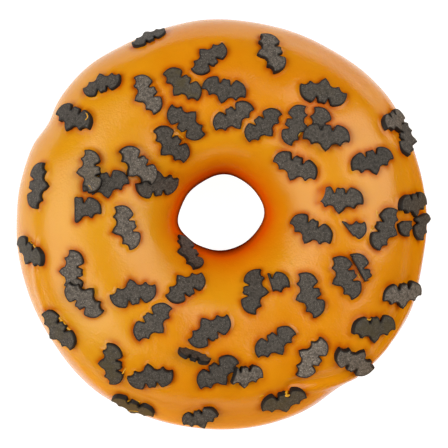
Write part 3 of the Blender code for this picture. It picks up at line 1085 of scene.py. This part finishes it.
def crease_lift(x, y):
    """How much the creases raise or press the icing at a place seen from above."""
    point = Vector((x, y))
    lift = 0.0
    for crease in CREASES:
        distance = distance_to_chain(point, crease.chain)
        if distance < CREASE_REACH * crease.width:
            lift += crease.height * math.exp(-((distance / crease.width) ** 2))
    return lift


# %% [markdown]
# The coat isn't the same all over, either. On the shoulders and above the hole the orange turns yellow,
# a painted sheen. The steep sides dried first and lost their gloss. Down in the hole light bounces from
# orange to orange and the colour gets redder, and at the brink a painted shade makes it nearly brown. One
# picture painted over the ring could say so, but a few soft spots and ramps say it in words, and each vertex
# keeps the results as attributes for the material to read.

# %% Painted sheen, dry sides, shelter and the painted shade of the brink
SheenSpot = namedtuple("SheenSpot", "x y radius share")
# Painted sheen: soft round spots where the orange turns yellower.
SHEEN_SPOTS = (
    SheenSpot(-31, 4, 17, 0.9),
    SheenSpot(-27, -22, 13, 0.85),
    SheenSpot(-25, 24, 12, 0.6),
    SheenSpot(-16, 0, 7, 0.5),
    SheenSpot(27, 10, 13, 0.45),
)
INNER_SHEEN_TURN = 118
INNER_SHEEN_WIDTH = 16
INNER_SHEEN_SHARE = 0.5
DrySide = namedtuple("DrySide", "bearing width share")
DRY_SIDES = (
    DrySide(2, 36, 0.94),
    DrySide(300, 40, 0.45),
)
DRY_TURN = 34
DRY_FADE = 14
SHELTER_TURN = 112
SHELTER_FADE = 46
BRINK_TURN = 162
BRINK_FADE = 14
BRINK_BULGES = ((275, 6, 40),)


def ramp(value, start, length):
    """0 up to the start, 1 from a length further on, and even in between."""
    return max(0.0, min(1.0, (value - start) / length))


def painted_sheen(place, turn):
    """The painted sheen, a yellower orange: from a few round spots seen from above and from the ring above
    the hole.
    """
    left = 1.0
    for spot in SHEEN_SPOTS:
        away = (place.x - spot.x) ** 2 + (place.y - spot.y) ** 2
        left *= 1 - spot.share * math.exp(-away / spot.radius**2)
    # Painted sheen on the ring above the hole.
    inner_sheen = INNER_SHEEN_SHARE * math.exp(-(((turn - INNER_SHEEN_TURN) / INNER_SHEEN_WIDTH) ** 2))
    return max(inner_sheen, 1 - left)


def dryness(bearing, turn):
    """How dry the skin is on the steep side of the ring, which is more at a few bearings."""
    share = sum(side.share * bulge(bearing, side.bearing, side.width) for side in DRY_SIDES)
    return min(1.0, share) * (1 - ramp(turn, DRY_TURN, DRY_FADE))


# %% [markdown]
# Two things happen when the blank is pressed over the ring: its skin gets slow swells and the creases. Then
# it has to be made ready for the bats. Icing is drawn up against each of them in a thin rim that a coarse
# mesh couldn't hold, and a mesh fine enough everywhere would be heavy. So the edges near the bats are
# subdivided, and only those. How near a bat is comes from a BVH tree, which finds the nearest point fast.

# %% Press the icing, then refine it near the bats
NEAR_BAT = 1.3
SLOW_SWELL = 0.28
SWELL_SIZE = 11.0
SKIN_TOLERANCE = 0.05


def press_icing(ring):
    """Presses the half blank over the ring, with slow swells and creases in its skin."""
    skin_mark = ring.verts.layers.float.new("skin")
    shelter = ring.verts.layers.float.new("shelter")
    brink_shade = ring.verts.layers.float.new("brink_shade")
    thin_and_sheen = ring.verts.layers.float.new("thin_and_sheen")
    dry = ring.verts.layers.float.new("dry")
    for vertex in ring.verts:
        bearing, half_turn, lift = read_blank(vertex)
        outer, inner = icing_edges(bearing)
        turn = outer + (inner - outer) * half_turn / 180
        is_skin = lift > ICING_LIFT - SKIN_TOLERANCE
        if is_skin:
            there = section_point(bearing, turn, lift)
            lift += SLOW_SWELL * noise.noise(there / SWELL_SIZE)
            if half_turn < 90:
                lift += crease_lift(there.x, there.y)
        vertex.co = section_point(bearing, turn, lift)
        vertex[skin_mark] = 1.0 if is_skin else 0.0
        vertex[shelter] = ramp(turn, SHELTER_TURN, SHELTER_FADE)
        # Painted shade: the brink of the hole darkens to nearly brown.
        vertex[brink_shade] = ramp(bulged(turn, BRINK_BULGES, bearing), BRINK_TURN, BRINK_FADE)
        vertex[thin_and_sheen] = painted_sheen(vertex.co, turn)
        vertex[dry] = dryness(bearing, turn)


def refine_near_bats(ring):
    """Splits the skin's edges that run close by a bat, so that the icing can rise there in a narrow rim."""
    skin_mark = ring.verts.layers.float["skin"]
    near = {}
    for vertex in ring.verts:
        if vertex[skin_mark] > 0.5 and bats_tree.find_nearest(vertex.co * MM, NEAR_BAT * MM)[0]:
            near.update((edge, True) for face in vertex.link_faces for edge in face.edges)
    bmesh.ops.subdivide_edges(ring, edges=list(near), cuts=1, use_grid_fill=True)
    return len(near)


bats_tree = BVHTree.FromObject(bat_sprinkles, bpy.context.evaluated_depsgraph_get())
press_icing(icing_shape)
print("edges split near the bats:", refine_near_bats(icing_shape))

# %% [markdown]
# Now the icing can meet the bats. It rises over the last third of a millimetre and sinks a little further
# out, and slow noise makes the rim high in one place and nearly nothing in the next. How near a bat is also
# goes into an attribute, for the material: a painted shade that makes the icing redder and darker beside
# the sugar, most where the rim is low.

# %% Draw the icing up to each bat
RIM_RISE = 0.2
RIM_WIDTH = 0.42
RIM_PATCH = 3.5
DIP_DEPTH = 0.1
DIP_WIDTH = 1.6
CONTACT_SHADE_WIDTH = 0.9
CONTACT_SHADE_MOST = 1.2
WETNESS = 0.45
WETNESS_SWING = 1.1
SEARCH_REACH = 4.0


def meet_bats(ring):
    """Moves the skin along its normals by the distance to the nearest bat."""
    skin_mark = ring.verts.layers.float["skin"]
    contact_shade = ring.verts.layers.float.new("contact_shade")
    ring.normal_update()
    moves = []
    for vertex in ring.verts:
        if vertex[skin_mark] < 0.5:
            continue
        found, _, _, distance = bats_tree.find_nearest(vertex.co * MM, SEARCH_REACH * MM)
        if found is None:
            continue
        gap = distance / MM
        wetness = max(0.0, min(1.0, WETNESS + WETNESS_SWING * noise.noise(vertex.co / RIM_PATCH)))
        rim = RIM_RISE * wetness * math.exp(-((gap / RIM_WIDTH) ** 2))
        # Painted shade: redder and darker icing beside the bats, most where the rim is low.
        vertex[contact_shade] = min(1.0, CONTACT_SHADE_MOST - wetness) * math.exp(-((gap / CONTACT_SHADE_WIDTH) ** 2))
        moves.append((vertex, rim - DIP_DEPTH * math.exp(-((gap / DIP_WIDTH) ** 2))))
    for vertex, move in moves:
        vertex.co += vertex.normal * move


meet_bats(icing_shape)
bmesh.ops.recalc_face_normals(icing_shape, faces=icing_shape.faces)

# %% [markdown]
# ## Icing material
#
# Fondant icing is sugar and water with colour in it: light goes a little way in, so shadows in it turn warm
# instead of grey. A small amount of subsurface scattering gives that. Over the drift of two oranges lie the
# attributes from above, one after the other: the yellow of the painted sheen, the red of light bouncing in
# the hole, a painted shade that makes its brink nearly brown, and a painted shade in red beside the bats.
# Its skin is glossy but not a mirror, with a fine orange peel. The gloss is lowered in the hole, on the dry
# sides and beside the bats, through the Specular IOR Level.

# %% Icing colours and finish
ICING_DEEP = (0.76, 0.255, 0.001, 1.0)
ICING_LIGHT = (0.80, 0.29, 0.003, 1.0)
ICING_THIN_AND_SHEEN = (0.80, 0.37, 0.008, 1.0)
ICING_CONTACT_SHADE = (0.55, 0.095, 0.0005, 1.0)
ICING_HOLE = (0.80, 0.108, 0.0005, 1.0)
BRINK_SHADE = (0.12, 0.008, 0.0005, 1.0)
ICING_PATCH = 9.0
HOLE_CURVE = 3.6
MATT_CURVE = 1.5
MATT_HOLE = 1.2
MATT_CONTACT_SHADE = 0.8
CONTACT_SHADE_SHARE = 0.95
ICING_SPECULAR = 0.45
ICING_ROUGHNESS = (0.12, 0.24)
DULL_PATCH = 5.0
PEEL_SIZE = 1.1
FINE_PEEL_SIZE = 0.42
PEEL_DEPTH = 0.11
SCATTER_DEPTH = 1.2


def make_icing():
    """Orange icing that turns yellow, red or brown, and glossy or matt, as the attributes say."""
    material, tree, shader, position = new_material("orange_icing")
    tones = place_group(
        tree,
        mottle,
        position,
        {
            "Scale": per_mm(ICING_PATCH),
            "Detail": 3.0,
            "Low": 0.36,
            "High": 0.66,
            "Tone A": ICING_DEEP,
            "Tone B": ICING_LIGHT,
        },
    )
    # Painted sheen: a yellower orange where the attribute says; the smears take the same yellow.
    colour = mixed(tree, attribute(tree, "thin_and_sheen"), tones.outputs["Colour"], ICING_THIN_AND_SHEEN)
    shelter = attribute(tree, "shelter")
    colour = mixed(tree, calculated(tree, "POWER", shelter, HOLE_CURVE), colour, ICING_HOLE)
    # Painted shade at the brink of the hole.
    colour = mixed(tree, attribute(tree, "brink_shade"), colour, BRINK_SHADE)
    matt = calculated(tree, "MULTIPLY", calculated(tree, "POWER", shelter, MATT_CURVE), MATT_HOLE)
    matt = calculated(tree, "ADD", matt, attribute(tree, "dry"))
    contact_shade = attribute(tree, "contact_shade")
    matt = calculated(tree, "ADD", matt, calculated(tree, "MULTIPLY", contact_shade, MATT_CONTACT_SHADE))
    gloss = calculated(tree, "MULTIPLY", calculated(tree, "SUBTRACT", 1.0, matt), ICING_SPECULAR)
    tree.links.new(gloss, shader.inputs["Specular IOR Level"])
    # Painted shade in red beside the bats.
    colour = mixed(tree, calculated(tree, "MULTIPLY", contact_shade, CONTACT_SHADE_SHARE), colour, ICING_CONTACT_SHADE)
    tree.links.new(colour, shader.inputs["Base Color"])
    finish = tree.nodes.new("ShaderNodeMapRange")
    finish.inputs["To Min"].default_value, finish.inputs["To Max"].default_value = ICING_ROUGHNESS
    dull_values = {"Scale": per_mm(DULL_PATCH), "Detail": 3.0, "Low": 0.3, "High": 0.7}
    dull = place_group(tree, mottle, position, dull_values)
    tree.links.new(dull.outputs["Mask"], finish.inputs["Value"])
    tree.links.new(finish.outputs["Result"], shader.inputs["Roughness"])
    height = place_group(
        tree,
        relief,
        position,
        {"Coarse Scale": per_mm(PEEL_SIZE), "Fine Scale": per_mm(FINE_PEEL_SIZE), "Fine Share": 0.5},
    )
    add_bump(tree, shader, height.outputs["Height"], PEEL_DEPTH, 0.8)
    shader.inputs["Subsurface Weight"].default_value = 0.15
    shader.inputs["Subsurface Radius"].default_value = (1.0, 0.4, 0.08)
    shader.inputs["Subsurface Scale"].default_value = SCATTER_DEPTH * MM
    return material


orange_icing = make_icing()
icing_coat = finish_piece("icing_coat", icing_shape, orange_icing)
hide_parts("icing")

# %% [markdown]
# ## Icing over the bats
#
# Here and there icing was wiped over a bat or fills one of its notches. A strand of icing is a round bar with
# tapered ends, and a curve with a bevel is just that: each of its points has its own radius, and converting
# it gives a mesh. The chains are given as seen by the camera, so each point is found by looking along the
# camera's ray for the first bat or icing that it meets, and the strand is then half sunk into it.

# %% Smears of icing
Smear = namedtuple("Smear", "width chain")
SMEARS = (
    Smear(0.7, ((-36.2, -20.0), (-35.2, -20.9), (-34.5, -21.9), (-33.8, -22.9), (-32.7, -23.5))),
    Smear(0.35, ((-35.5, -20.2), (-34.6, -20.7), (-33.9, -21.3))),
    Smear(0.35, ((-36.4, -24.8), (-35.9, -25.7), (-35.2, -26.3))),
    Smear(0.45, ((-21.9, -32.9), (-21.2, -32.2), (-21.0, -31.3))),
    Smear(0.5, ((-21.4, -38.7), (-20.6, -39.0), (-20.1, -38.5))),
    Smear(0.45, ((-18.9, -38.7), (-18.1, -38.6), (-17.7, -39.1))),
    Smear(0.4, ((-20.3, -40.9), (-19.1, -40.8), (-18.2, -41.1))),
    Smear(0.4, ((-29.9, 24.6), (-29.3, 24.0), (-29.4, 23.2), (-30.0, 22.9))),
    Smear(0.5, ((-42.0, -3.9), (-41.2, -4.6), (-40.6, -5.4))),
    Smear(0.8, ((14.5, -36.4), (14.0, -37.1), (14.4, -37.7), (15.2, -37.4))),
    Smear(0.6, ((10.0, -38.8), (10.5, -38.9))),
    Smear(0.7, ((8.2, -38.0), (8.9, -37.4), (9.7, -37.3))),
    Smear(0.6, ((31.6, -20.5), (32.3, -21.2), (32.9, -20.7))),
    Smear(0.4, ((35.0, -20.4), (35.6, -21.1))),
    Smear(0.9, ((34.0, 3.2), (34.2, 2.2), (34.1, 1.2))),
    Smear(0.9, ((33.6, -0.1), (33.0, -1.0), (32.6, -1.6))),
    Smear(0.5, ((-9.8, 20.2), (-8.9, 19.6), (-8.2, 18.7))),
    Smear(0.45, ((29.5, -9.9), (30.0, -11.1), (30.6, -12.3))),
    Smear(0.45, ((-29.2, 8.8), (-28.9, 8.2), (-28.4, 7.6))),
    Smear(0.35, ((17.0, -12.0), (17.2, -12.6))),
    Smear(0.35, ((17.2, -14.9), (17.6, -15.3))),
    Smear(0.4, ((18.2, -17.3), (18.4, -18.3))),
    Smear(0.7, ((18.6, 22.2), (17.8, 20.9), (16.9, 19.6), (15.9, 18.5))),
)
TAPER = 0.35
SUNK_SHARE = 0.25
CLUMP_SIZE = 0.5
CLUMP_DEPTH = 0.12

icing_tree = BVHTree.FromObject(icing_coat, bpy.context.evaluated_depsgraph_get())


def uppermost(x, y):
    """The first point of a bat or of the icing on the camera's ray through a place at the waist's level."""
    eye = camera.location.copy()
    ray = Vector((x * MM, y * MM, WAIST_HEIGHT * MM)) - eye
    hits = [tree.ray_cast(eye, ray) for tree in (bats_tree, icing_tree)]
    found = [(distance, place) for place, _, _, distance in hits if place is not None]
    return min(found)[1] / MM


def strand_mesh(smear):
    """A tapered bar of icing along the smear's chain."""
    bar = bpy.data.curves.new("strand", "CURVE")
    bar.dimensions = "3D"
    bar.bevel_depth = smear.width / 2
    bar.bevel_resolution = 3
    bar.resolution_u = 4
    bar.use_fill_caps = True
    line = bar.splines.new("NURBS")
    line.points.add(len(smear.chain) - 1)
    for index, (place, point) in enumerate(zip(smear.chain, line.points)):
        top = uppermost(*place)
        point.co = (top.x, top.y, top.z - SUNK_SHARE * smear.width, 1.0)
        point.radius = TAPER if index in (0, len(smear.chain) - 1) else 1.0
    line.use_endpoint_u = True
    line.order_u = min(3, len(smear.chain))
    holder = bpy.data.objects.new("strand", bar)
    mesh = bpy.data.meshes.new_from_object(holder)
    bpy.data.objects.remove(holder)
    return mesh


smears_shape = bmesh.new()
for smear in SMEARS:
    strand = strand_mesh(smear)
    smears_shape.from_mesh(strand)
    bpy.data.meshes.remove(strand)
spread_thin = smears_shape.verts.layers.float.new("thin_and_sheen")
for vertex in smears_shape.verts:
    vertex.co += noise.noise_vector(vertex.co / CLUMP_SIZE) * CLUMP_DEPTH
    vertex[spread_thin] = 1.0
bmesh.ops.recalc_face_normals(smears_shape, faces=smears_shape.faces)
icing_smears = finish_piece("icing_smears", smears_shape, orange_icing)
